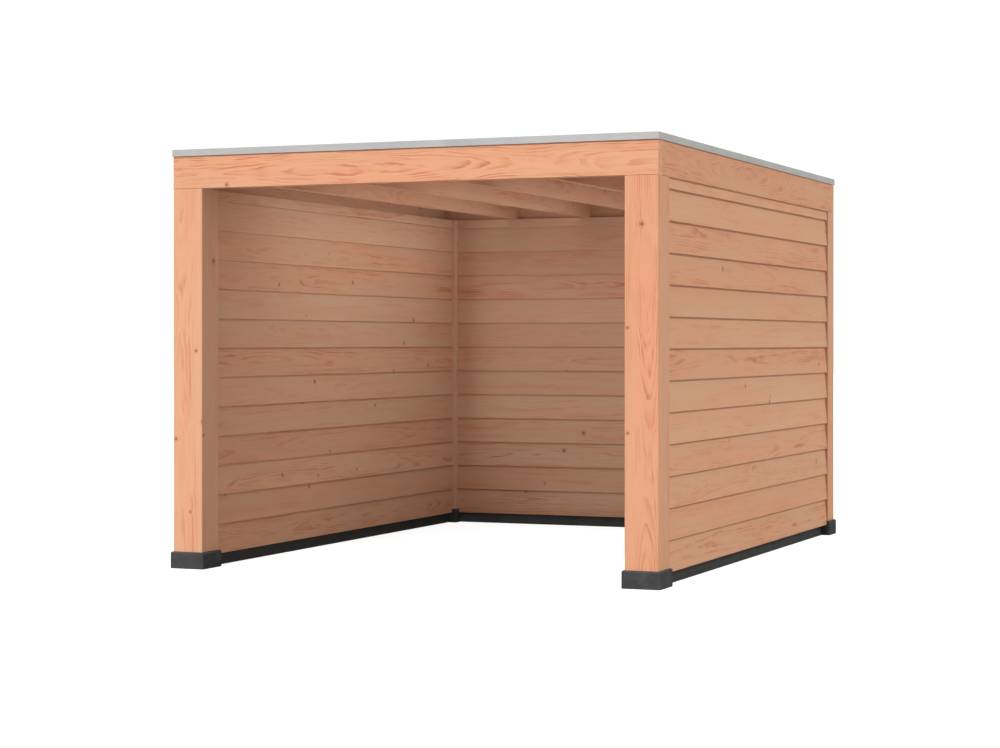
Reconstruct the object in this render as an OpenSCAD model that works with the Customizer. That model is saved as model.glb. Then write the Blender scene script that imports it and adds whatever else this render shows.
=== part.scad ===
// Garden canopy: a timber shelter that is open at the front, with three walls and a flat roof.
// X runs across the front, Y from front to back, and Z up from the ground.

/* [Overall] */
// Width over the outer faces of the posts
overall_width = 3050; // [2400:10:5000]
// Depth over the outer faces of the posts
overall_depth = 3880; // [2400:10:6000]
// Height from the ground to the top of the roof trim
overall_height = 2500; // [2300:10:3000]

/* [Posts and feet] */
// Width of a post, seen from the front
post_width = 195; // [185:1:260]
// Depth of a front post
front_post_depth = 195; // [120:1:260]
// Depth of a rear post
rear_post_depth = 156; // [125:1:260]
// Height of a foot
foot_height = 100; // [80:1:180]
// How far a foot stands out round its post
foot_overhang = 15; // [8:0.5:30]
// Bevel along the top edges of a foot
foot_bevel = 8; // [2:0.5:14]
// Bevel down the corners of a foot
foot_corner = 6; // [2:0.5:14]
// Bevel along the edges of posts, beams and rafters
timber_edge = 3; // [1:0.5:8]

/* [Walls] */
// How far the outer boards lie behind the outer faces of the posts
wall_recess = 7; // [4:0.5:25]
// Thickness of a side wall over both skins of boards
side_wall = 170; // [110:1:175]
// Thickness of the rear wall over both skins of boards
rear_wall = 107; // [80:1:115]
// Height of the sill under a wall
sill_height = 90; // [78:1:160]
// How far the sill lies behind the outer face of the wall frame
sill_recess = 9; // [0:0.5:20]
// Width of a stud or plate in a wall frame
stud_width = 45; // [30:1:80]
// Largest distance between the middles of two studs
stud_spacing = 600; // [300:10:900]

/* [Boards] */
// Height of the lower edge of the lowest board
first_board = 73; // [40:1:76]
// Height of wall that each board covers
board_cover = 177.5; // [100:0.5:240]
// Overlap of a board on the board below it
board_lap = 17; // [8:0.5:30]
// Thickness of a board at its lower edge
board_butt = 28; // [20:0.5:32]
// Thickness of a board at its upper edge
board_tip = 12; // [6:0.5:16]
// Bevel along the lower front edge of a board
board_edge = 2; // [0.5:0.5:4]
// Clearance in the lap between two boards
board_gap = 0.5; // [0.2:0.1:2]

/* [Roof] */
// Height of the beams and rafters
beam_height = 195; // [140:1:260]
// Thickness of the beams round the roof
beam_thickness = 65; // [40:1:110]
// Thickness of a rafter
rafter_thickness = 45; // [30:1:90]
// Thickness of the roof deck
deck_thickness = 18; // [12:1:24]
// Width of the upstand batten along the edge of the roof
batten_width = 45; // [30:1:90]
// Thickness of the roof membrane
membrane_sheet = 2; // [1:0.5:4]
// Height of the face of the roof trim
trim_height = 40; // [34:1:80]
// Thickness of the trim's sheet
trim_sheet = 2; // [1:0.5:4]
// How far the trim stands out beyond the beams
trim_overhang = 6; // [4:0.5:30]
// How far the trim reaches past the batten, over the membrane
trim_lap = 8; // [6:0.5:30]
// Depth of the turned-down inner lip of the trim
trim_lip = 9; // [4:0.5:12]
// Gap at the mitres of the trim
mitre_gap = 0.5; // [0.2:0.1:2]

/* [Hidden] */

wood_colour = "sandybrown";
frame_colour = "burlywood";
foot_colour = "dimgray";
sill_colour = "darkslategray";
trim_colour = "silver";
membrane_colour = "#2b2b2d";

// Signs that place a piece: left or front is negative, right or rear is positive
low_end = -1;
high_end = 1;
rafter_count = 4;
// How far a cutting shape reaches past what it cuts
cut_margin = 1;

half_width = overall_width / 2;
half_depth = overall_depth / 2;

beam_top = overall_height - trim_height;
beam_bottom = beam_top - beam_height;
deck_top = beam_top + deck_thickness;
batten_top = overall_height - trim_sheet;

// The deck and the battens fill out to the inner face of the trim
deck_overhang = trim_overhang - trim_sheet;
deck_half = [half_width + deck_overhang, half_depth + deck_overhang];
trim_flange = trim_sheet + batten_width + membrane_sheet + trim_lap;

// Wall planes, measured in from the outer faces of the posts
frame_recess = wall_recess + board_butt;
side_frame = side_wall - 2 * board_butt;
rear_frame = rear_wall - 2 * board_butt;

// Runs of the walls between the posts
side_front = -half_depth + front_post_depth;
side_rear = half_depth - rear_post_depth;
side_run = side_rear - side_front;
side_middle = (side_front + side_rear) / 2;
rear_run = overall_width - 2 * post_width;

// A board is as high as its cover and its lap, and the topmost one is cut off under the beam
board_height = board_cover + board_lap;
board_taper = (board_butt - board_tip) / board_height;
rebate_depth = board_butt - board_taper * board_cover + board_gap;
rebate_height = board_lap + board_gap;
smallest_strip = board_lap + board_butt;
board_count = 1 + floor((beam_bottom - first_board - smallest_strip) / board_cover);

rafter_field = overall_width - 2 * beam_thickness;
rafter_pitch = rafter_field / (rafter_count + 1);

function post_depth(end) = end < 0 ? front_post_depth : rear_post_depth;
function post_middle(side, end) = [
    side * (half_width - post_width / 2),
    end * (half_depth - post_depth(end) / 2),
    0
];
function foot_size(end) = [post_width + 2 * foot_overhang, post_depth(end) + 2 * foot_overhang];

// Rectangle about the origin with its four corners cut off
function bevelled_rectangle(width, depth, bevel) = [
    [bevel - width / 2, -depth / 2],
    [width / 2 - bevel, -depth / 2],
    [width / 2, bevel - depth / 2],
    [width / 2, depth / 2 - bevel],
    [width / 2 - bevel, depth / 2],
    [bevel - width / 2, depth / 2],
    [-width / 2, depth / 2 - bevel],
    [-width / 2, bevel - depth / 2]
];

// Upright outline on the ground with its two upper corners cut off
function bevelled_top(width, height, bevel) = [
    [-width / 2, 0],
    [width / 2, 0],
    [width / 2, height - bevel],
    [width / 2 - bevel, height],
    [bevel - width / 2, height],
    [-width / 2, height - bevel]
];

// Section of a board: flat back, tapered face, and a rebate over the tip of the board below
function board_section(height) = [
    [rebate_depth, 0],
    [board_butt - board_edge, 0],
    [board_butt - board_taper * board_edge, board_edge],
    [board_butt - board_taper * height, height],
    [0, height],
    [0, rebate_height],
    [rebate_depth, rebate_height]
];

function trim_section() = [
    [0, 0],
    [0, trim_height],
    [-trim_flange, trim_height],
    [-trim_flange, trim_height - trim_lip],
    [trim_sheet - trim_flange, trim_height - trim_lip],
    [trim_sheet - trim_flange, trim_height - trim_sheet],
    [-trim_sheet, trim_height - trim_sheet],
    [-trim_sheet, 0]
];

module box_between(low, high) {
    translate(low) cube(high - low);
}

// Extrusions of an upright section, about the middle of their run
module along_x(run) {
    rotate([90, 0, 90]) linear_extrude(height = run, center = true) children();
}

module along_y(run) {
    rotate([90, 0, 0]) linear_extrude(height = run, center = true) children();
}

module foot(side, end) {
    size = foot_size(end);
    color(foot_colour)
        translate(post_middle(side, end))
        intersection() {
            linear_extrude(height = foot_height) polygon(bevelled_rectangle(size.x, size.y, foot_corner));
            along_y(size.y + cut_margin) polygon(bevelled_top(size.x, foot_height, foot_bevel));
            along_x(size.x + cut_margin) polygon(bevelled_top(size.y, foot_height, foot_bevel));
        }
}

// Room for the four feet, which the lowest boards are notched for
module foot_notches() {
    for (side = [low_end, high_end], end = [low_end, high_end]) {
        size = foot_size(end);
        translate(post_middle(side, end) + [0, 0, foot_height / 2])
            cube([size.x, size.y, foot_height], center = true);
    }
}

module post(side, end) {
    color(wood_colour)
        translate(post_middle(side, end) + [0, 0, foot_height])
        linear_extrude(height = beam_bottom - foot_height)
        polygon(bevelled_rectangle(post_width, post_depth(end), timber_edge));
}

module side_sill(side) {
    outer = half_width - frame_recess;
    color(sill_colour)
        to_side(side)
        box_between(
            [outer - side_frame, side_front + foot_overhang, 0],
            [outer - sill_recess, side_rear - foot_overhang, sill_height]
        );
}

// Mirrors a piece of the right-hand side to the side asked for
module to_side(side) {
    if (side < 0) mirror([1, 0, 0]) children();
    else children();
}

// Plates and studs of a wall that runs along Y, with its outer face at X = 0
module wall_frame(run, thickness) {
    bays = ceil((run - stud_width) / stud_spacing);
    pitch = (run - stud_width) / bays;
    height = beam_bottom - sill_height;
    translate([-thickness, -run / 2, sill_height])
        difference() {
            cube([thickness, run, height]);
            for (bay = [0 : bays - 1])
                translate([-cut_margin, stud_width + bay * pitch, stud_width])
                    cube([thickness + 2 * cut_margin, pitch - stud_width, height - 2 * stud_width]);
        }
}

module side_wall_frame(side) {
    color(frame_colour)
        to_side(side)
        translate([half_width - frame_recess, side_middle, 0])
        wall_frame(side_run, side_frame);
}

// Overlapping boards of a wall that runs along Y, with their backs at X = 0 and facing +X
module board_skin(run) {
    for (row = [0 : board_count - 1]) {
        foot_of_row = first_board + row * board_cover;
        height = min(board_height, beam_bottom - foot_of_row);
        translate([0, 0, foot_of_row])
            along_y(run) polygon(board_section(height));
    }
}

module side_outer_boards(side) {
    color(wood_colour)
        difference() {
            to_side(side)
                translate([half_width - frame_recess, side_middle, 0])
                board_skin(side_run);
            foot_notches();
        }
}

module side_inner_boards(side) {
    color(wood_colour)
        difference() {
            to_side(side)
                translate([half_width - frame_recess - side_frame, side_middle, 0])
                mirror([1, 0, 0])
                board_skin(side_run);
            foot_notches();
        }
}

// A long beam across the front or the rear, over the posts
module cross_beam(end) {
    color(wood_colour)
        translate([0, end * (half_depth - beam_thickness / 2), beam_bottom + beam_height / 2])
        along_x(overall_width)
        polygon(bevelled_rectangle(beam_thickness, beam_height, timber_edge));
}

// A timber from the front beam to the rear beam
module long_timber(middle, thickness) {
    color(wood_colour)
        translate([middle, 0, beam_bottom + beam_height / 2])
        along_y(overall_depth - 2 * beam_thickness)
        polygon(bevelled_rectangle(thickness, beam_height, timber_edge));
}

module side_beam(side) {
    long_timber(side * (half_width - beam_thickness / 2), beam_thickness);
}

module rafter(place) {
    long_timber(place * rafter_pitch - rafter_field / 2, rafter_thickness);
}

module cross_batten(end) {
    outer = deck_half.y;
    inner = deck_half.y - batten_width;
    color(frame_colour)
        rotate([0, 0, end < 0 ? 180 : 0])
        box_between([-deck_half.x, inner, deck_top], [deck_half.x, outer, batten_top]);
}

module side_batten(side) {
    outer = deck_half.x;
    inner = deck_half.x - batten_width;
    end = deck_half.y - batten_width;
    color(frame_colour)
        to_side(side)
        box_between([inner, -end, deck_top], [outer, end, batten_top]);
}

// Trim along Y with its outer face at the given reach and mitred ends
module trim_length(run, reach) {
    outer_end = run / 2 - mitre_gap;
    inner_reach = reach - trim_flange;
    inner_end = outer_end - trim_flange;
    color(trim_colour)
        intersection() {
            translate([reach, 0, beam_top]) along_y(run) polygon(trim_section());
            translate([0, 0, beam_top - cut_margin])
                linear_extrude(height = trim_height + 2 * cut_margin)
                polygon([
                    [reach + cut_margin, outer_end + cut_margin],
                    [inner_reach - cut_margin, inner_end - cut_margin],
                    [inner_reach - cut_margin, cut_margin - inner_end],
                    [reach + cut_margin, -outer_end - cut_margin]
                ]);
        }
}

module cross_trim(end) {
    rotate([0, 0, 90 * end])
        trim_length(overall_width + 2 * trim_overhang, half_depth + trim_overhang);
}

module side_trim(side) {
    to_side(side)
        trim_length(overall_depth + 2 * trim_overhang, half_width + trim_overhang);
}

module foot_front_left() foot(low_end, low_end);
module foot_front_right() foot(high_end, low_end);
module foot_rear_left() foot(low_end, high_end);
module foot_rear_right() foot(high_end, high_end);

module post_front_left() post(low_end, low_end);
module post_front_right() post(high_end, low_end);
module post_rear_left() post(low_end, high_end);
module post_rear_right() post(high_end, high_end);

module sill_left() side_sill(low_end);
module sill_right() side_sill(high_end);
module sill_rear() {
    half_run = rear_run / 2 - foot_overhang;
    outer = half_depth - frame_recess;
    color(sill_colour)
        box_between([-half_run, outer - rear_frame, 0], [half_run, outer - sill_recess, sill_height]);
}

module wall_frame_left() side_wall_frame(low_end);
module wall_frame_right() side_wall_frame(high_end);
module wall_frame_rear() {
    color(frame_colour)
        translate([0, half_depth - frame_recess, 0])
        rotate([0, 0, 90])
        wall_frame(rear_run, rear_frame);
}

module outer_boards_left() side_outer_boards(low_end);
module outer_boards_right() side_outer_boards(high_end);
module outer_boards_rear() {
    color(wood_colour)
        difference() {
            translate([0, half_depth - frame_recess, 0])
                rotate([0, 0, 90])
                board_skin(rear_run);
            foot_notches();
        }
}

module inner_boards_left() side_inner_boards(low_end);
module inner_boards_right() side_inner_boards(high_end);
module inner_boards_rear() {
    color(wood_colour)
        difference() {
            translate([0, half_depth - frame_recess - rear_frame, 0])
                rotate([0, 0, -90])
                board_skin(rear_run);
            foot_notches();
        }
}

module beam_front() cross_beam(low_end);
module beam_rear() cross_beam(high_end);
module beam_left() side_beam(low_end);
module beam_right() side_beam(high_end);

module rafter_1() rafter(1);
module rafter_2() rafter(2);
module rafter_3() rafter(3);
module rafter_4() rafter(4);

module roof_deck() {
    color(frame_colour)
        box_between([-deck_half.x, -deck_half.y, beam_top], [deck_half.x, deck_half.y, deck_top]);
}

module batten_front() cross_batten(low_end);
module batten_rear() cross_batten(high_end);
module batten_left() side_batten(low_end);
module batten_right() side_batten(high_end);

// Sheet on the deck, turned up against the battens
module roof_membrane() {
    outer = [deck_half.x - batten_width, deck_half.y - batten_width];
    inner = [outer.x - membrane_sheet, outer.y - membrane_sheet];
    color(membrane_colour)
        difference() {
            box_between([-outer.x, -outer.y, deck_top], [outer.x, outer.y, batten_top]);
            box_between(
                [-inner.x, -inner.y, deck_top + membrane_sheet],
                [inner.x, inner.y, batten_top + cut_margin]
            );
        }
}

module trim_front() cross_trim(low_end);
module trim_rear() cross_trim(high_end);
module trim_left() side_trim(low_end);
module trim_right() side_trim(high_end);

foot_front_left();
foot_front_right();
foot_rear_left();
foot_rear_right();
post_front_left();
post_front_right();
post_rear_left();
post_rear_right();
sill_left();
sill_right();
sill_rear();
wall_frame_left();
wall_frame_right();
wall_frame_rear();
outer_boards_left();
outer_boards_right();
outer_boards_rear();
inner_boards_left();
inner_boards_right();
inner_boards_rear();
beam_front();
beam_rear();
beam_left();
beam_right();
rafter_1();
rafter_2();
rafter_3();
rafter_4();
roof_deck();
batten_front();
batten_rear();
batten_left();
batten_right();
roof_membrane();
trim_front();
trim_rear();
trim_left();
trim_right();
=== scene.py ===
"""Looks of a wooden garden canopy, built round its solids, in metres."""

import functools
import math

import bmesh
import bpy
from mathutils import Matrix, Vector


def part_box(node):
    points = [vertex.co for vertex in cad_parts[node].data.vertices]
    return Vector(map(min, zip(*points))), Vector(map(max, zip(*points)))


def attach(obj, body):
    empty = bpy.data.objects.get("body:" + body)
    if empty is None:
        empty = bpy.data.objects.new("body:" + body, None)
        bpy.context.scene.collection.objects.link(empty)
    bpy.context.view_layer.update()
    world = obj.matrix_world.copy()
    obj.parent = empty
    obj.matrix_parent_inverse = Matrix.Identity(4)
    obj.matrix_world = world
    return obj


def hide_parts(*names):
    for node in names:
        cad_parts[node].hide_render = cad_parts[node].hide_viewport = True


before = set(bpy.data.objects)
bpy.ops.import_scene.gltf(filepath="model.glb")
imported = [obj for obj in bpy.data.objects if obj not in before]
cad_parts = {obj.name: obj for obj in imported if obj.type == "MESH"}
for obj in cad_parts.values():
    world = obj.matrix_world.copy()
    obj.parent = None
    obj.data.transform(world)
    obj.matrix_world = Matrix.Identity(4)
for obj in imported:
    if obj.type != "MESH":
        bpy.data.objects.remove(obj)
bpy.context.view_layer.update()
BODY = "root"

# Names that recur in the solids
SIDES = ("left", "right")
ENDS = ("front", "rear")
WALLS = ("left", "right", "rear")
SKINS = ("outer", "inner")
RAFTERS = ("rafter_1", "rafter_2", "rafter_3", "rafter_4")

# Wall boards: where the first begins, how much each covers, and how far a butt reaches below its line
FIRST_BOARD = 0.073
BOARD_COVER = 0.1775
BOARD_TOUCH = 0.002

# Roof boards, seen from below between the rafters
ROOF_BOARD = 0.135
ROOF_GROOVE = 0.006

# Colours of the wood, in linear light
TAN_WOOD = (0.540, 0.300, 0.188, 1.0)
PINK_WOOD = (0.550, 0.258, 0.153, 1.0)
LATE_WOOD = (0.425, 0.157, 0.084, 1.0)
RED_STREAK = (0.420, 0.161, 0.086, 1.0)
KNOT_RING = (0.330, 0.130, 0.067, 1.0)
KNOT_HEART = (0.205, 0.082, 0.043, 1.0)

# Colours of the feet, sills, trims and roof sheet, in linear light
CONCRETE_DARK = (0.037, 0.039, 0.042, 1.0)
CONCRETE_PALE = (0.053, 0.055, 0.058, 1.0)
CONCRETE_GRAIN = (0.082, 0.082, 0.082, 1.0)
CONCRETE_HOLE_SHADE = (0.014, 0.014, 0.015, 1.0)
PLASTIC_DARK = (0.0195, 0.0213, 0.0212, 1.0)
PLASTIC_PALE = (0.0292, 0.0316, 0.0310, 1.0)
PLASTIC_FLECK = (0.051, 0.053, 0.052, 1.0)
METAL_DARK = (0.396, 0.406, 0.420, 1.0)
METAL_PALE = (0.438, 0.448, 0.463, 1.0)
RUBBER_DARK = (0.023, 0.023, 0.025, 1.0)
RUBBER_DUST = (0.036, 0.036, 0.035, 1.0)

# Pith of the tree: below the middle of the piece, and how far it strays across and in depth
BOARD_PITH = -0.055
BEAM_PITH = -0.105
POST_PITH = -0.145
PITH_SPREAD = 0.10
PITH_WANDER = 0.10
PITH_DEPTH_SPREAD = 0.05
DRIFT_RATE = 0.55
BOARD_DRIFT = 0.15
TIMBER_DRIFT = 0.22

# Rings: their width, how much it varies, and how uneven and rippled they are
BOARD_RING = 0.012
TIMBER_RING = 0.011
RING_LEAST = 0.67
RING_RANGE = 0.66
RING_UNEVEN = 1.6
UNEVEN_SCALE = 70.0
BOARD_RIPPLE = 0.024
TIMBER_RIPPLE = 0.024

# Steps to a metre along and across the grain
RIPPLE_SCALE = (3.4, 14.0)
BREAK_SCALE = (5.0, 26.0)
PATCH_SCALE = (0.9, 7.0)
STREAK_SCALE = (1.3, 46.0)
FIBRE_SCALE = (9.0, 480.0)

# Knots: spacing of their places, radius, how far they bend the rings and how they tint the wood
KNOT_PITCH = 0.55
KNOT_ROW = 0.16
KNOT_LEAST = 0.0045
KNOT_RANGE = 0.0075
KNOT_REACH = 0.040
KNOT_BULGE = 0.006
KNOT_HALO = 0.50

# Share of the places for a knot that hold one, and a shift for those on narrow faces
BOARD_KNOTS = 0.13
TIMBER_KNOTS = 0.38
NARROW_FACE_SHIFT = 7.0

# How strongly the figure shows
PLAIN_FIGURE = 0.42
BOARD_FIGURE = 1.00
TIMBER_FIGURE = 0.95

# How pink and how light the boards are
BOARD_PINK_LEAST = 0.16
BOARD_PINK_RANGE = 0.25
BOARD_PINK_MORE = 0.38
BOARD_TONE_LEAST = 0.965
BOARD_TONE_RANGE = 0.07

# Surface of planed wood
WOOD_GLOSS = 0.18
GRAIN_DEPTH = 0.0006
GRAIN_STRENGTH = 0.6
SAWN_END_PALER = 0.05

# Boards of a wall, counted from the ground, that show a strong figure or a pinker wood
WALL_BOARDS = 13
FIGURED = (0, 2, 3, 6, 9, 10, 12)
PINK = (1, 3, 6, 9, 10)

# Factors and shifts that keep the draws from one seed apart
SEED_ALONG = 3.7
SEED_KNOTS = 5.3
SEED_DRIFT = 1.7
SEED_YEARS = 7.0
SEED_MORE = 0.5
SEED_BOARD = 0.25

# Seeds of the pieces that come in rows
WALL_SEED = 100.0
WALL_SEED_STEP = 40.0
SKIN_SEED_STEP = 20.0
FRAME_SEED = 300.0
RAFTER_SEED = 430.0
ROOF_SEED = 500.0
BATTEN_SEED_STEP = 100.0

# Seed of each post and beam, how pink its wood is, how light, and how strong its figure
POSTS = {
    "front_left": (400.0, 0.15, 1.02, 0.45),
    "front_right": (646.0, 0.70, 1.0, 1.05),
    "rear_left": (402.0, 0.0, 1.02, 0.35),
    "rear_right": (403.0, 0.40, 0.97, 0.60),
}
BEAMS = {
    "front": (637.0, 0.45, 1.02, 1.40),
    "rear": (411.0, 0.50, 1.0, 0.90),
    "left": (412.0, 0.50, 1.0, 0.90),
    "right": (652.0, 0.70, 0.99, 1.20),
}
TIMBER_PINK = 0.5
RAFTER_PINK = 0.75

# Painted light and shade: each sill's plastic is made lighter or darker for the light that falls on
# it, and the rear sill, in the shade at the back, is made much lighter
SILL_PAINTED_LIGHT = {"left": 1.25, "right": 0.94, "rear": 2.50}

# Suns: where each stands, its colour, its strength and its spread in degrees
SUNS = {
    "key": ((-0.07, -0.62, 0.78), (1.0, 0.955, 0.912), 4.42, 16.0),
    "side": ((0.76, 0.17, 0.63), (0.99, 1.02, 0.91), 1.70, 8.0),
    "back": ((-0.70, 0.50, 0.50), (0.97, 0.98, 1.0), 1.7, 20.0),
}

# Sky, backdrop and floors
WHITE = (1.0, 1.0, 1.0, 1.0)
SKY_COLOUR = (1.0, 0.98, 0.917, 1.0)
SKY_STRENGTH = 0.60
BACKDROP_STRENGTH = 1.05
FLOOR_HALF = 80.0
FLOOR_HEIGHT = -0.0004
FLOOR_SHADE = 0.25
FLOOR_GLOW = 0.88
BOUNCE_HEIGHT = -0.0008
BOUNCE_SHADE = 0.33

# Dim panels in the room: middle, size and power, with the side ones given for the right
ROOM_COLOUR = (0.70, 0.92, 0.98)
ROOM_DOWN = ((0.0, -0.1, 2.22), (0.8, 2.4), 17.0)
ROOM_UP = ((0.0, 0.4, 0.06), (1.4, 2.7), 5.5)
ROOM_SIDE = ((1.25, 0.03, 1.38), (3.1, 1.74), 14.0)
ROOM_HIGH = ((1.0, 0.1, 2.05), (2.8, 0.35), 2.6)
WIDE_SPREAD = 180.0
HIGH_SPREAD = 50.0

# Dim panels between the rafters
BAY_POWERS = (2.1, 2.1, 1.3, 0.7)
BAY_SIZE = (2.9, 0.17)
BAY_MIDDLE_Y = 0.35
BAY_GAP = 0.01

# Camera, with its turn about the vertical in degrees
CAMERA_PLACE = (5.3796, -13.4137, 1.3525)
CAMERA_TURN = 22.6616
CAMERA_SENSOR = 36.0
CAMERA_LENS = 79.75
CAMERA_SHIFT = (0.0002, -0.0321)
CAMERA_REACH = 400.0


class Graph:
    """Writes nodes into one tree, a call for each node."""

    def __init__(self, tree):
        self.tree = tree

    def feed(self, socket, value):
        if isinstance(value, bpy.types.NodeSocket):
            self.tree.links.new(value, socket)
        else:
            socket.default_value = value

    def node(self, kind, inputs=None, **settings):
        made = self.tree.nodes.new(kind)
        for name, value in settings.items():
            setattr(made, name, value)
        for name, value in (inputs or {}).items():
            self.feed(made.inputs[name], value)
        return made

    def math(self, operation, *values):
        made = self.node("ShaderNodeMath", operation=operation)
        for socket, value in zip(made.inputs, values):
            self.feed(socket, value)
        return made.outputs["Value"]

    def plus(self, *values):
        return functools.reduce(lambda a, b: self.math("ADD", a, b), values)

    def times(self, *values):
        return functools.reduce(lambda a, b: self.math("MULTIPLY", a, b), values)

    def minus(self, a, b):
        return self.math("SUBTRACT", a, b)

    def divide(self, a, b):
        return self.math("DIVIDE", a, b)

    def spread(self, chance, least, reach):
        """A value from least to least plus reach as chance goes from nought to one."""
        return self.plus(self.times(chance, reach), least)

    def swing(self, chance, width):
        """A value to either side of nought, as wide as width in all."""
        return self.times(self.minus(chance, 0.5), width)

    def rise(self, value, low, high, start=0.0, end=1.0):
        """A smooth step from start to end as value goes from low to high."""
        inputs = {"Value": value, "From Min": low, "From Max": high, "To Min": start, "To Max": end}
        made = self.node("ShaderNodeMapRange", inputs, interpolation_type="SMOOTHSTEP")
        return made.outputs["Result"]

    def vector(self, x, y, z):
        return self.node("ShaderNodeCombineXYZ", {"X": x, "Y": y, "Z": z}).outputs["Vector"]

    def split(self, vector):
        made = self.node("ShaderNodeSeparateXYZ", {"Vector": vector})
        return [made.outputs[axis] for axis in "XYZ"]

    def vectors(self, operation, first, second):
        made = self.node("ShaderNodeVectorMath", {0: first, 1: second}, operation=operation)
        return made.outputs["Vector"]

    def scale(self, vector, factor):
        made = self.node("ShaderNodeVectorMath", {0: vector, "Scale": factor}, operation="SCALE")
        return made.outputs["Vector"]

    def length(self, vector):
        made = self.node("ShaderNodeVectorMath", {0: vector}, operation="LENGTH")
        return made.outputs["Value"]

    def chances(self, seed):
        """Three even random numbers that belong to a seed."""
        made = self.node("ShaderNodeTexWhiteNoise", {"W": seed}, noise_dimensions="1D")
        return self.split(made.outputs["Color"])

    def noise(self, place, detail=2.0, output="Fac", rough=0.5):
        inputs = {"Vector": place, "Scale": 1.0, "Detail": detail, "Roughness": rough}
        return self.node("ShaderNodeTexNoise", inputs).outputs[output]

    def grain_noise(self, grain, scale, detail):
        """Noise drawn out along the grain, which is given as along, across and depth."""
        lengthwise, crosswise = scale
        along, across, depth = grain
        place = self.vector(
            self.times(along, lengthwise),
            self.times(across, crosswise),
            self.times(depth, crosswise),
        )
        return self.noise(place, detail)

    def blend(self, share, first, second):
        made = self.node("ShaderNodeMix", data_type="RGBA")
        self.feed(made.inputs[0], share)
        self.feed(made.inputs[6], first)
        self.feed(made.inputs[7], second)
        return made.outputs[2]


def grain_tree():
    """An empty group with the inputs and outputs of the softwood."""
    tree = bpy.data.node_groups.new("softwood_grain", "ShaderNodeTree")
    place = ("Along", "Across", "Depth", "Face")
    growth = ("Seed", "Pith", "Drift", "Ring", "Figure", "Ripple", "Pink", "Tone", "Knots")
    for name in place + growth:
        tree.interface.new_socket(name, in_out="INPUT", socket_type="NodeSocketFloat")
    tree.interface.new_socket("Colour", in_out="OUTPUT", socket_type="NodeSocketColor")
    for name in ("Roughness", "Height"):
        tree.interface.new_socket(name, in_out="OUTPUT", socket_type="NodeSocketFloat")
    return tree


def grain_knots(g, given, along):
    """Knots in rows of cells, of which some stay empty: their heart, halo and bulge in the rings."""
    cell = g.vector(
        g.times(along, 1.0 / KNOT_PITCH),
        g.plus(g.times(given["Face"], 1.0 / KNOT_ROW), g.times(given["Seed"], SEED_KNOTS)),
        0.0,
    )
    spot = g.node("ShaderNodeTexVoronoi", {"Vector": cell, "Scale": 1.0}, voronoi_dimensions="2D")
    gap = g.vectors("SUBTRACT", cell, spot.outputs["Position"])
    away = g.length(g.vectors("MULTIPLY", gap, (KNOT_PITCH, KNOT_ROW, 0.0)))
    fate = g.split(spot.outputs["Color"])
    grows = g.math("LESS_THAN", fate[0], given["Knots"])
    reach = g.divide(away, g.spread(fate[1], KNOT_LEAST, KNOT_RANGE))
    heart = g.times(grows, g.rise(reach, 0.55, 1.05, 1.0, 0.0))
    halo = g.times(grows, g.rise(reach, 1.0, 2.8, 1.0, 0.0))
    bulge = g.times(grows, g.rise(away, 0.0, KNOT_REACH, KNOT_BULGE, 0.0))
    return heart, halo, bulge


def grain_rings(g, given, grain, luck, bulge):
    """Late wood of the rings round a pith that drifts along the length."""
    along, across, depth = grain
    seed = given["Seed"]
    drift_place = g.vector(g.times(along, DRIFT_RATE), g.times(seed, SEED_DRIFT), 0.0)
    drift = g.split(g.noise(drift_place, detail=1.0, output="Color"))
    pith_across = g.plus(g.swing(luck[0], PITH_SPREAD), g.swing(drift[0], PITH_WANDER))
    pith_depth = g.plus(
        given["Pith"],
        g.swing(luck[1], PITH_DEPTH_SPREAD),
        g.swing(drift[1], given["Drift"]),
    )
    from_pith = g.length(g.vector(g.minus(across, pith_across), g.minus(depth, pith_depth), 0.0))
    ripple = g.swing(g.grain_noise(grain, RIPPLE_SCALE, 3.0), given["Ripple"])
    distance = g.plus(from_pith, ripple, bulge)
    ring_width = g.times(given["Ring"], g.spread(luck[2], RING_LEAST, RING_RANGE))
    uneven = g.noise(g.vector(g.times(distance, UNEVEN_SCALE), seed, 0.0), detail=1.0)
    ring = g.plus(g.divide(distance, ring_width), g.times(uneven, RING_UNEVEN))
    phase = g.math("FRACT", ring)
    year = g.chances(g.plus(g.math("FLOOR", ring), g.times(seed, SEED_YEARS)))
    band = g.times(g.rise(phase, 0.20, 0.84), g.rise(phase, 0.86, 1.0, 1.0, 0.0))
    broken = g.rise(g.grain_noise(grain, BREAK_SCALE, 3.0), 0.38, 0.62, 0.12, 1.0)
    return g.times(band, broken, g.spread(year[0], 0.35, 1.1))


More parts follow.
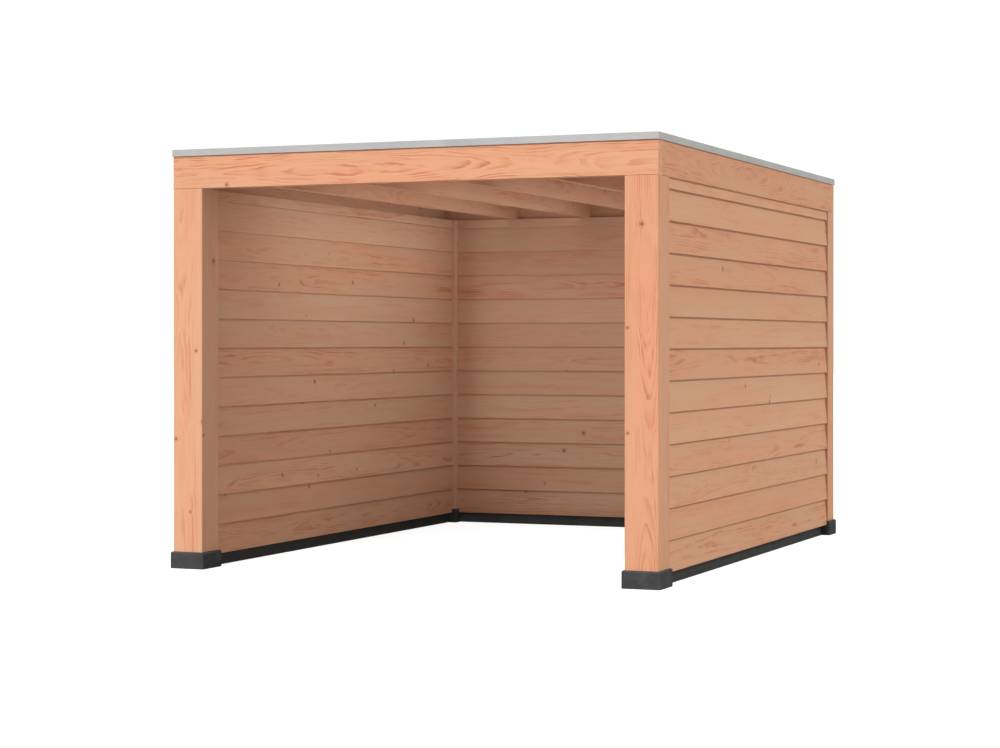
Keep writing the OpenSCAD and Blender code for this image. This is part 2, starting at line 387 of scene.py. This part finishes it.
def grain_group():
    """Solid softwood: rings round a wandering pith, red streaks, fibres and small knots."""
    tree = grain_tree()
    g = Graph(tree)
    given = g.node("NodeGroupInput").outputs
    seed = given["Seed"]
    along = g.plus(given["Along"], g.times(seed, SEED_ALONG))
    grain = (along, given["Across"], given["Depth"])
    luck = g.chances(seed)
    more = g.chances(g.plus(seed, SEED_MORE))
    heart, halo, bulge = grain_knots(g, given, along)
    late = grain_rings(g, given, grain, luck, bulge)

    # Patches, streaks and fibres run along the grain
    patch = g.grain_noise(grain, PATCH_SCALE, 2.0)
    streak = g.rise(g.grain_noise(grain, STREAK_SCALE, 3.0), 0.50, 0.78)
    fibre = g.grain_noise(grain, FIBRE_SCALE, 1.0)

    # Colour, gloss and relief come from all of them
    pink = g.plus(given["Pink"], g.rise(patch, 0.25, 0.75, -0.35, 0.35))
    base = g.blend(pink, TAN_WOOD, PINK_WOOD)
    strength = g.times(given["Figure"], g.spread(more[1], 0.7, 0.3))
    shown = g.times(strength, g.rise(patch, 0.34, 0.66, 0.25, 1.15))
    figured = g.blend(g.times(late, shown), base, LATE_WOOD)
    streaked = g.blend(g.times(streak, g.spread(more[2], 0.10, 0.22)), figured, RED_STREAK)
    tone = g.plus(g.times(fibre, 0.10), g.times(patch, 0.10), 0.90)
    toned = g.scale(streaked, g.times(tone, given["Tone"]))
    ringed = g.blend(g.times(halo, KNOT_HALO), toned, KNOT_RING)
    colour = g.blend(heart, ringed, KNOT_HEART)
    rough = g.plus(g.times(fibre, 0.16), g.times(late, -0.07), 0.50)
    height = g.plus(g.times(late, 0.5), g.times(fibre, 0.5), g.times(heart, -0.4))
    g.node("NodeGroupOutput", {"Colour": colour, "Roughness": rough, "Height": height})
    return tree


GRAIN = grain_group()


def new_material(name):
    """A material, its graph and its surface shader."""
    material = bpy.data.materials.new(name)
    material.use_nodes = True
    return material, Graph(material.node_tree), material.node_tree.nodes["Principled BSDF"]


def bump(g, shader, height, depth, strength):
    made = g.node("ShaderNodeBump", {"Height": height, "Distance": depth, "Strength": strength})
    g.feed(shader.inputs["Normal"], made.outputs["Normal"])


def place_and_normal(g):
    """Where a point of the surface is, and which way it faces, by axis."""
    place = g.node("ShaderNodeTexCoord").outputs["Object"]
    facing = g.node("ShaderNodeNewGeometry").outputs["True Normal"]
    return dict(zip("xyz", g.split(place))), dict(zip("xyz", g.split(facing)))


def object_place(g, scale):
    """Places on the object, with scale steps to a metre."""
    place = g.node("ShaderNodeTexCoord").outputs["Object"]
    return g.scale(place, scale)


def among(g, count, numbers):
    """One where a board's number is in the list, and nought elsewhere."""
    return g.plus(*(g.math("COMPARE", count, float(number), 0.5) for number in numbers))


def finish_wood(g, shader, axes, normal, growth):
    """Knots follow the broad and the narrow faces, and sawn ends are a little paler."""
    broad = g.math("GREATER_THAN", g.math("ABSOLUTE", normal[axes[2]]), 0.5)
    narrow_face = g.times(g.minus(1.0, broad), g.plus(growth["Depth"], NARROW_FACE_SHIFT))
    growth["Face"] = g.plus(g.times(broad, growth["Across"]), narrow_face)
    grain = g.node("ShaderNodeGroup", node_tree=GRAIN)
    for key, value in growth.items():
        g.feed(grain.inputs[key], value)
    sawn_end = g.math("GREATER_THAN", g.math("ABSOLUTE", normal[axes[0]]), 0.7)
    colour = g.scale(grain.outputs["Colour"], g.spread(sawn_end, 1.0, SAWN_END_PALER))
    g.feed(shader.inputs["Base Color"], colour)
    g.feed(shader.inputs["Roughness"], grain.outputs["Roughness"])
    shader.inputs["Specular IOR Level"].default_value = WOOD_GLOSS
    bump(g, shader, grain.outputs["Height"], GRAIN_DEPTH, GRAIN_STRENGTH)


def wood(name, axes, middle, seed, pith, pink=TIMBER_PINK, tone=1.0, figure=TIMBER_FIGURE):
    """One softwood timber, whose grain runs along the first of the axes."""
    material, g, shader = new_material(name)
    point, normal = place_and_normal(g)
    along, across, depth = (g.minus(point[axis], middle["xyz".index(axis)]) for axis in axes)
    growth = {
        "Along": along,
        "Across": across,
        "Depth": depth,
        "Seed": seed,
        "Pith": pith,
        "Drift": TIMBER_DRIFT,
        "Ring": TIMBER_RING,
        "Figure": figure,
        "Ripple": TIMBER_RIPPLE,
        "Pink": pink,
        "Tone": tone,
        "Knots": TIMBER_KNOTS,
    }
    finish_wood(g, shader, axes, normal, growth)
    return material


def board_wood(name, axes, middle, seed, first, cover):
    """Softwood boards counted across the grain, each with its own growth."""
    material, g, shader = new_material(name)
    point, normal = place_and_normal(g)
    along, height, depth = (point[axis] for axis in axes)
    count = g.math("FLOOR", g.times(g.plus(height, BOARD_TOUCH - first), 1.0 / cover))
    across = g.minus(g.minus(height, first), g.times(g.plus(count, 0.5), cover))
    own_seed = g.plus(count, seed)
    kind = g.math("MODULO", count, float(WALL_BOARDS))
    luck = g.chances(g.plus(own_seed, SEED_BOARD))
    figured = among(g, kind, FIGURED)
    pinker = g.times(among(g, kind, PINK), BOARD_PINK_MORE)
    growth = {
        "Along": along,
        "Across": across,
        "Depth": g.minus(depth, middle["xyz".index(axes[2])]),
        "Seed": own_seed,
        "Pith": BOARD_PITH,
        "Drift": BOARD_DRIFT,
        "Ring": BOARD_RING,
        "Figure": g.spread(figured, PLAIN_FIGURE, BOARD_FIGURE - PLAIN_FIGURE),
        "Ripple": BOARD_RIPPLE,
        "Pink": g.plus(pinker, g.times(luck[0], BOARD_PINK_RANGE), BOARD_PINK_LEAST),
        "Tone": g.spread(luck[1], BOARD_TONE_LEAST, BOARD_TONE_RANGE),
        "Knots": BOARD_KNOTS,
    }
    finish_wood(g, shader, axes, normal, growth)
    return material


def concrete():
    """Dark cast concrete with a cloudy face, pale grains and pin holes darkened as painted shade."""
    material, g, shader = new_material("foot_concrete")
    cloud = g.noise(object_place(g, 14.0), detail=4.0)
    grains = g.noise(object_place(g, 420.0), detail=2.0)
    holes = g.node("ShaderNodeTexVoronoi", {"Vector": object_place(g, 75.0), "Scale": 1.0})
    hole = g.rise(holes.outputs["Distance"], 0.08, 0.20, 1.0, 0.0)
    shade = g.blend(g.rise(cloud, 0.30, 0.72), CONCRETE_DARK, CONCRETE_PALE)
    grained = g.blend(g.rise(grains, 0.56, 0.72, 0.0, 0.45), shade, CONCRETE_GRAIN)
    # The pin holes are darkened in colour: painted shade in the hollows
    g.feed(shader.inputs["Base Color"], g.blend(g.times(hole, 0.7), grained, CONCRETE_HOLE_SHADE))
    g.feed(shader.inputs["Roughness"], g.rise(cloud, 0.25, 0.75, 0.78, 0.92))
    shader.inputs["Specular IOR Level"].default_value = 0.10
    bump(g, shader, g.minus(g.times(grains, 0.4), hole), depth=0.0010, strength=0.7)
    return material


def dark_plastic(name, tone):
    """Matt recycled plastic with cloudy shades and pale flecks."""
    material, g, shader = new_material(name)
    cloud = g.noise(object_place(g, 9.0), detail=3.0)
    fleck = g.noise(object_place(g, 260.0), detail=2.0)
    shade = g.blend(g.rise(cloud, 0.3, 0.7), PLASTIC_DARK, PLASTIC_PALE)
    flecked = g.blend(g.rise(fleck, 0.60, 0.75, 0.0, 0.5), shade, PLASTIC_FLECK)
    # tone lightens or darkens the whole plastic; for the sills it is painted light and shade
    g.feed(shader.inputs["Base Color"], g.scale(flecked, tone))
    g.feed(shader.inputs["Roughness"], g.rise(cloud, 0.25, 0.75, 0.58, 0.74))
    shader.inputs["Specular IOR Level"].default_value = 0.35
    bump(g, shader, fleck, depth=0.0006, strength=0.5)
    return material


def satin_metal():
    """Light grey satin aluminium with fine drawn lines along its length."""
    material, g, shader = new_material("trim_aluminium")
    x, y, z = g.split(g.node("ShaderNodeTexCoord").outputs["Object"])
    lines = g.noise(g.vector(g.times(x, 1.5), g.times(y, 1.5), g.times(z, 900.0)), detail=2.0)
    cloud = g.noise(object_place(g, 5.0), detail=3.0)
    shade = g.blend(g.rise(cloud, 0.3, 0.7), METAL_DARK, METAL_PALE)
    g.feed(shader.inputs["Base Color"], g.scale(shade, g.rise(lines, 0.3, 0.7, 0.95, 1.03)))
    g.feed(shader.inputs["Roughness"], g.plus(g.times(lines, 0.12), g.times(cloud, 0.10), 0.36))
    shader.inputs["Metallic"].default_value = 0.45
    bump(g, shader, lines, depth=0.0002, strength=0.4)
    return material


def rubber():
    """Matt dark roofing sheet with pale dust and a fine grain."""
    material, g, shader = new_material("membrane_rubber")
    dust = g.noise(object_place(g, 1.4), detail=7.0, rough=0.62)
    grain = g.noise(object_place(g, 300.0), detail=2.0)
    shade = g.blend(g.rise(dust, 0.42, 0.75), RUBBER_DARK, RUBBER_DUST)
    g.feed(shader.inputs["Base Color"], g.scale(shade, g.rise(grain, 0.3, 0.7, 0.85, 1.15)))
    g.feed(shader.inputs["Roughness"], g.rise(dust, 0.3, 0.75, 0.55, 0.80))
    shader.inputs["Specular IOR Level"].default_value = 0.35
    bump(g, shader, g.plus(grain, g.times(dust, 2.0)), depth=0.0008, strength=0.5)
    return material


def middle_of(node):
    low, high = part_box(node)
    return (low + high) / 2


def dress(node, material):
    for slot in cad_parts[node].material_slots:
        slot.material = material


def dress_walls():
    for number, wall in enumerate(WALLS):
        axes = "xzy" if wall == "rear" else "yzx"
        for layer, skin in enumerate(SKINS):
            node = f"{skin}_boards_{wall}"
            seed = WALL_SEED + WALL_SEED_STEP * number + SKIN_SEED_STEP * layer
            dress(node, board_wood(node, axes, middle_of(node), seed, FIRST_BOARD, BOARD_COVER))
        hidden = f"wall_frame_{wall}"
        dress(hidden, wood(hidden, "zyx", middle_of(hidden), FRAME_SEED + number, BEAM_PITH))


def dress_posts():
    for name, (seed, *look) in POSTS.items():
        node = f"post_{name}"
        dress(node, wood(node, "zxy", middle_of(node), seed, POST_PITH, *look))


def dress_beams():
    for name, (seed, *look) in BEAMS.items():
        axes = "xzy" if name in ENDS else "yzx"
        beam = f"beam_{name}"
        dress(beam, wood(beam, axes, middle_of(beam), seed, BEAM_PITH, *look))
        batten = f"batten_{name}"
        dress(batten, wood(batten, axes, middle_of(batten), seed + BATTEN_SEED_STEP, BEAM_PITH))
    for number, node in enumerate(RAFTERS):
        seed = RAFTER_SEED + number
        dress(node, wood(node, "yzx", middle_of(node), seed, BEAM_PITH, RAFTER_PINK))


def dress_dark_and_metal():
    foot = concrete()
    trim = satin_metal()
    for end in ENDS:
        for side in SIDES:
            dress(f"foot_{end}_{side}", foot)
    # Each sill's plastic is lightened or darkened as painted light and shade
    for wall, tone in SILL_PAINTED_LIGHT.items():
        dress(f"sill_{wall}", dark_plastic(f"sill_{wall}", tone))
    for name in ENDS + SIDES:
        dress(f"trim_{name}", trim)
    dress("roof_membrane", rubber())


def add_object(name, data):
    made = bpy.data.objects.new(name, data)
    bpy.context.scene.collection.objects.link(made)
    return made


def mesh_object(name, bm, material):
    """Turns built faces into an object."""
    mesh = bpy.data.meshes.new(name)
    bm.to_mesh(mesh)
    bm.free()
    mesh.materials.append(material)
    return add_object(name, mesh)


def roof_outline(low, high, count):
    """The roof boards from the side, as y and z, with a groove at each joint of the underside."""
    step = (high.y - low.y) / count
    outline = [(low.y, high.z), (low.y, low.z)]
    for number in range(1, count):
        joint = low.y + number * step
        outline += [
            (joint - ROOF_GROOVE, low.z),
            (joint, low.z + ROOF_GROOVE),
            (joint + ROOF_GROOVE, low.z),
        ]
    return outline + [(high.y, low.z), (high.y, high.z)]


def roof_boards():
    """The roof deck as boards across the rafters, with grooves between them on the underside."""
    low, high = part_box("roof_deck")
    count = round((high.y - low.y) / ROOF_BOARD)
    outline = roof_outline(low, high, count)
    bm = bmesh.new()
    ends = [[bm.verts.new((x, y, z)) for y, z in outline] for x in (low.x, high.x)]
    for left, right in zip(range(len(outline)), [*range(1, len(outline)), 0]):
        bm.faces.new((ends[0][left], ends[0][right], ends[1][right], ends[1][left]))
    for verts in ends:
        bm.faces.new(verts)
    bmesh.ops.recalc_face_normals(bm, faces=bm.faces)
    cover = (high.y - low.y) / count
    material = board_wood("roof_boards", "xyz", middle_of("roof_deck"), ROOF_SEED, low.y, cover)
    piece = mesh_object("roof_boards", bm, material)
    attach(piece, BODY)
    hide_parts("roof_deck")


def floor_material(name, shade, glow):
    material, _, shader = new_material(name)
    shader.inputs["Base Color"].default_value = (shade, shade, shade, 1.0)
    shader.inputs["Roughness"].default_value = 0.9
    shader.inputs["Specular IOR Level"].default_value = 0.0
    shader.inputs["Emission Color"].default_value = WHITE
    shader.inputs["Emission Strength"].default_value = glow
    return material


def floor_plane(name, height, material):
    """A wide flat square of the studio."""
    bm = bmesh.new()
    corners = ((-1.0, -1.0), (1.0, -1.0), (1.0, 1.0), (-1.0, 1.0))
    bm.faces.new([bm.verts.new((x * FLOOR_HALF, y * FLOOR_HALF, height)) for x, y in corners])
    made = mesh_object(name, bm, material)
    return made


def studio_floor():
    """A white floor for the camera, and a dimmer one that throws light back on the canopy."""
    seen_white = floor_material("floor_white", FLOOR_SHADE, FLOOR_GLOW)
    seen = floor_plane("floor", FLOOR_HEIGHT, seen_white)
    seen.visible_diffuse = False
    seen.visible_glossy = False
    seen.visible_shadow = False
    bounce_grey = floor_material("floor_bounce", BOUNCE_SHADE, 0.0)
    bounce = floor_plane("floor_bounce", BOUNCE_HEIGHT, bounce_grey)
    bounce.visible_camera = False


def studio_world():
    """White behind everything, and a soft even sky for the light."""
    world = bpy.data.worlds.new("studio")
    bpy.context.scene.world = world
    world.use_nodes = True
    g = Graph(world.node_tree)
    g.tree.nodes.clear()
    sky = g.node("ShaderNodeBackground", {"Color": SKY_COLOUR, "Strength": SKY_STRENGTH})
    white = g.node("ShaderNodeBackground", {"Color": WHITE, "Strength": BACKDROP_STRENGTH})
    seen = g.node("ShaderNodeLightPath").outputs["Is Camera Ray"]
    mixed = g.node("ShaderNodeMixShader")
    for socket, value in zip(mixed.inputs, (seen, sky.outputs[0], white.outputs[0])):
        g.feed(socket, value)
    g.node("ShaderNodeOutputWorld", {"Surface": mixed.outputs[0]})


def sun(name, towards, colour, strength, spread):
    """A wide soft light that stands in the given direction."""
    data = bpy.data.lights.new(name, "SUN")
    data.color = colour
    data.energy = strength
    data.angle = math.radians(spread)
    lamp = add_object(name, data)
    lamp.rotation_euler = Vector(towards).to_track_quat("Z", "Y").to_euler()


def room_panel(name, place, towards, size, power, spread=WIDE_SPREAD):
    """A dim panel inside the room, which the camera doesn't see."""
    data = bpy.data.lights.new(name, "AREA")
    data.shape = "RECTANGLE"
    data.size, data.size_y = size
    data.energy = power
    data.color = ROOM_COLOUR
    data.spread = math.radians(spread)
    lamp = add_object(name, data)
    lamp.location = place
    lamp.rotation_euler = Vector(towards).to_track_quat("-Z", "Y").to_euler()
    lamp.visible_camera = False
    lamp.visible_glossy = False


def side_panel(name, sign, panel, spread=WIDE_SPREAD):
    """A room panel at the left or the right, which faces the middle."""
    (x, y, z), size, power = panel
    room_panel(name, (sign * x, y, z), (-sign, 0.0, 0.0), size, power, spread)


def bay_panels():
    """A panel at the left of each rafter, which lights the side of the one before it."""
    for node, power in zip(RAFTERS, BAY_POWERS):
        low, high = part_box(node)
        beside = (low.x - BAY_GAP, BAY_MIDDLE_Y, (low.z + high.z) / 2)
        room_panel(f"bay_{node}", beside, (-1.0, 0.0, 0.0), BAY_SIZE, power)


def studio_lights():
    for name, light in SUNS.items():
        sun(name, *light)
    place, size, power = ROOM_DOWN
    room_panel("room_down", place, (0.0, 0.0, -1.0), size, power)
    place, size, power = ROOM_UP
    room_panel("room_up", place, (0.0, 0.0, 1.0), size, power)
    for side, sign in zip(SIDES, (-1.0, 1.0)):
        side_panel(f"room_{side}", sign, ROOM_SIDE)
        side_panel(f"room_high_{side}", sign, ROOM_HIGH, HIGH_SPREAD)
    bay_panels()


def photo_camera():
    data = bpy.data.cameras.new("photo_camera")
    data.sensor_width = CAMERA_SENSOR
    data.lens = CAMERA_LENS
    data.shift_x, data.shift_y = CAMERA_SHIFT
    data.clip_end = CAMERA_REACH
    camera = add_object("photo_camera", data)
    camera.location = CAMERA_PLACE
    camera.rotation_euler = (math.radians(90.0), 0.0, math.radians(CAMERA_TURN))
    bpy.context.scene.camera = camera


dress_walls()
dress_posts()
dress_beams()
dress_dark_and_metal()
roof_boards()
studio_floor()
studio_world()
studio_lights()
photo_camera()
bpy.context.scene.view_settings.view_transform = "Standard"
